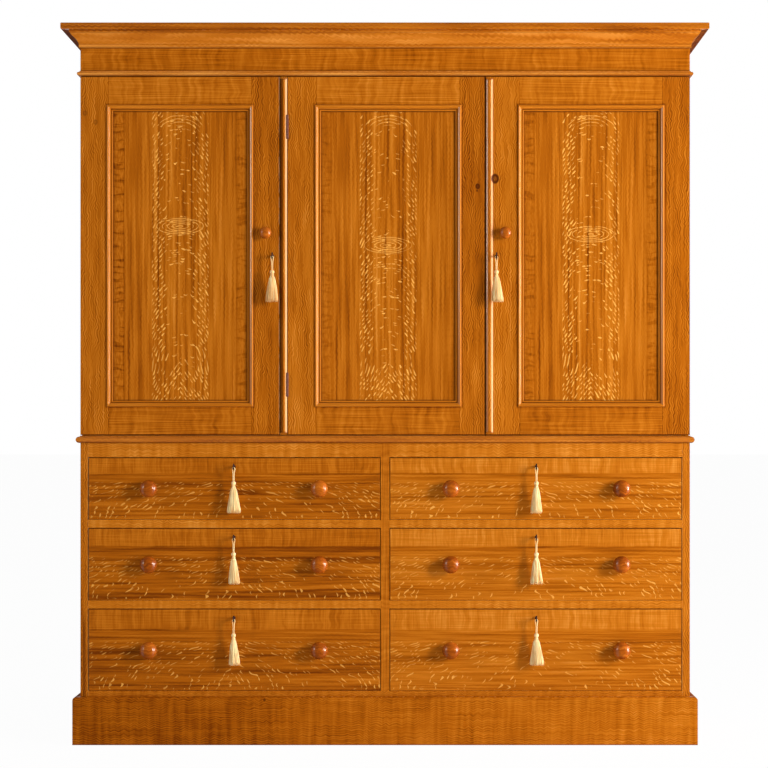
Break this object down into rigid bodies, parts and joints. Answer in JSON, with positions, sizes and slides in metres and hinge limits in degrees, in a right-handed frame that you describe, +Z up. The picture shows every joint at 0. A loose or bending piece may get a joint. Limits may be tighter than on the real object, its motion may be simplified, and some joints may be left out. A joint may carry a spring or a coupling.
{
  "type": "linen press",
  "caption": "Three-door panelled linen press over two columns of drawers, with cornice, plinth, turned knobs, and locks whose keys carry tassels.",
  "frame": {"origin": "on the floor, under the middle of the press's outer box", "axes": "+Z up, the front towards -Y, +X to the right seen from the front"},
  "size_m": [1.853, 0.54, 2.068],
  "materials": {
    "grained_wood": "oak graining, varnished",
    "grained_panel": "oak graining, varnished",
    "bare_pine": "bare aged pine",
    "knob_wood": "turned, polished",
    "hinge_iron": "dull iron",
    "key_steel": "worn steel",
    "tassel_cotton": "cream cotton"
  },
  "bodies": {
    "case": {"plinth": "grained_wood", "drawer_rails": "grained_wood", "waist_moulding": "grained_wood", "chest_sides": "grained_wood", "cupboard_sides": "grained_wood", "frieze_board": "grained_wood", "neck_moulding": "grained_wood", "cornice": "grained_wood", "partition": "grained_wood", "chest_boards": "bare_pine", "drawer_runners": "bare_pine", "back_boards": "bare_pine", "cupboard_boards": "bare_pine", "shelves": "bare_pine", "hinge_frame_leaves": "hinge_iron"},
    "left_door": {"left_door_frame": "grained_wood", "left_door_panel": "grained_panel", "left_door_hardware": "hinge_iron", "left_door_knob": "knob_wood", "left_door_tassel": "tassel_cotton"},
    "centre_door": {"centre_door_frame": "grained_wood", "centre_door_panel": "grained_panel", "centre_door_hardware": "hinge_iron"},
    "right_door": {"right_door_frame": "grained_wood", "right_door_panel": "grained_panel", "right_door_hardware": "hinge_iron", "right_door_knob": "knob_wood", "right_door_tassel": "tassel_cotton"},
    "left_door_key_turn_body": {"left_door_key": "key_steel"},
    "right_door_key_turn_body": {"right_door_key": "key_steel"},
    "low_left_drawer": {"low_left_drawer_front": "grained_wood", "low_left_drawer_box": "bare_pine", "low_left_drawer_fittings": "knob_wood", "low_left_drawer_tassel": "tassel_cotton"},
    "low_left_drawer_key_turn_body": {"low_left_drawer_key": "key_steel"},
    "low_right_drawer": {"low_right_drawer_front": "grained_wood", "low_right_drawer_box": "bare_pine", "low_right_drawer_fittings": "knob_wood", "low_right_drawer_tassel": "tassel_cotton"},
    "low_right_drawer_key_turn_body": {"low_right_drawer_key": "key_steel"},
    "middle_left_drawer": {"middle_left_drawer_front": "grained_wood", "middle_left_drawer_box": "bare_pine", "middle_left_drawer_fittings": "knob_wood", "middle_left_drawer_tassel": "tassel_cotton"},
    "middle_left_drawer_key_turn_body": {"middle_left_drawer_key": "key_steel"},
    "middle_right_drawer": {"middle_right_drawer_front": "grained_wood", "middle_right_drawer_box": "bare_pine", "middle_right_drawer_fittings": "knob_wood", "middle_right_drawer_tassel": "tassel_cotton"},
    "middle_right_drawer_key_turn_body": {"middle_right_drawer_key": "key_steel"},
    "top_left_drawer": {"top_left_drawer_front": "grained_wood", "top_left_drawer_box": "bare_pine", "top_left_drawer_fittings": "knob_wood", "top_left_drawer_tassel": "tassel_cotton"},
    "top_left_drawer_key_turn_body": {"top_left_drawer_key": "key_steel"},
    "top_right_drawer": {"top_right_drawer_front": "grained_wood", "top_right_drawer_box": "bare_pine", "top_right_drawer_fittings": "knob_wood", "top_right_drawer_tassel": "tassel_cotton"},
    "top_right_drawer_key_turn_body": {"top_right_drawer_key": "key_steel"}
  },
  "joints": [
    {"name": "left_door_swing", "type": "hinge", "parent": "case", "child": "left_door", "pos_m": [-0.878, -0.1965, 1.406], "axis": [0, 0, -1], "range_deg": [0, 175]},
    {"name": "centre_door_swing", "type": "hinge", "parent": "case", "child": "centre_door", "pos_m": [-0.28175, -0.223, 1.406], "axis": [0, 0, -1], "range_deg": [0, 115]},
    {"name": "right_door_swing", "type": "hinge", "parent": "case", "child": "right_door", "pos_m": [0.878, -0.1965, 1.406], "axis": [0, 0, 1], "range_deg": [0, 175]},
    {"name": "left_door_key_turn", "type": "hinge", "parent": "left_door", "child": "left_door_key_turn_body", "pos_m": [-0.3235, -0.221, 1.405], "axis": [0, 1, 0], "range_deg": [0, 360], "deforming": ["left_door_tassel"]},
    {"name": "right_door_key_turn", "type": "hinge", "parent": "right_door", "child": "right_door_key_turn_body", "pos_m": [0.3195, -0.221, 1.405], "axis": [0, 1, 0], "range_deg": [0, 360], "deforming": ["right_door_tassel"]},
    {"name": "low_left_drawer_slide", "type": "slide", "parent": "case", "child": "low_left_drawer", "axis": [0, -1, 0], "range_m": [0, 0.38]},
    {"name": "low_left_drawer_key_turn", "type": "hinge", "parent": "low_left_drawer", "child": "low_left_drawer_key_turn_body", "pos_m": [-0.434, -0.221, 0.3635], "axis": [0, 1, 0], "range_deg": [0, 360], "deforming": ["low_left_drawer_tassel"]},
    {"name": "low_right_drawer_slide", "type": "slide", "parent": "case", "child": "low_right_drawer", "axis": [0, -1, 0], "range_m": [0, 0.38]},
    {"name": "low_right_drawer_key_turn", "type": "hinge", "parent": "low_right_drawer", "child": "low_right_drawer_key_turn_body", "pos_m": [0.434, -0.221, 0.3635], "axis": [0, 1, 0], "range_deg": [0, 360], "deforming": ["low_right_drawer_tassel"]},
    {"name": "middle_left_drawer_slide", "type": "slide", "parent": "case", "child": "middle_left_drawer", "axis": [0, -1, 0], "range_m": [0, 0.38]},
    {"name": "middle_left_drawer_key_turn", "type": "hinge", "parent": "middle_left_drawer", "child": "middle_left_drawer_key_turn_body", "pos_m": [-0.434, -0.221, 0.596], "axis": [0, 1, 0], "range_deg": [0, 360], "deforming": ["middle_left_drawer_tassel"]},
    {"name": "middle_right_drawer_slide", "type": "slide", "parent": "case", "child": "middle_right_drawer", "axis": [0, -1, 0], "range_m": [0, 0.38]},
    {"name": "middle_right_drawer_key_turn", "type": "hinge", "parent": "middle_right_drawer", "child": "middle_right_drawer_key_turn_body", "pos_m": [0.434, -0.221, 0.596], "axis": [0, 1, 0], "range_deg": [0, 360], "deforming": ["middle_right_drawer_tassel"]},
    {"name": "top_left_drawer_slide", "type": "slide", "parent": "case", "child": "top_left_drawer", "axis": [0, -1, 0], "range_m": [0, 0.38]},
    {"name": "top_left_drawer_key_turn", "type": "hinge", "parent": "top_left_drawer", "child": "top_left_drawer_key_turn_body", "pos_m": [-0.434, -0.221, 0.7995], "axis": [0, 1, 0], "range_deg": [0, 360], "deforming": ["top_left_drawer_tassel"]},
    {"name": "top_right_drawer_slide", "type": "slide", "parent": "case", "child": "top_right_drawer", "axis": [0, -1, 0], "range_m": [0, 0.38]},
    {"name": "top_right_drawer_key_turn", "type": "hinge", "parent": "top_right_drawer", "child": "top_right_drawer_key_turn_body", "pos_m": [0.434, -0.221, 0.7995], "axis": [0, 1, 0], "range_deg": [0, 360], "deforming": ["top_right_drawer_tassel"]}
  ]
}
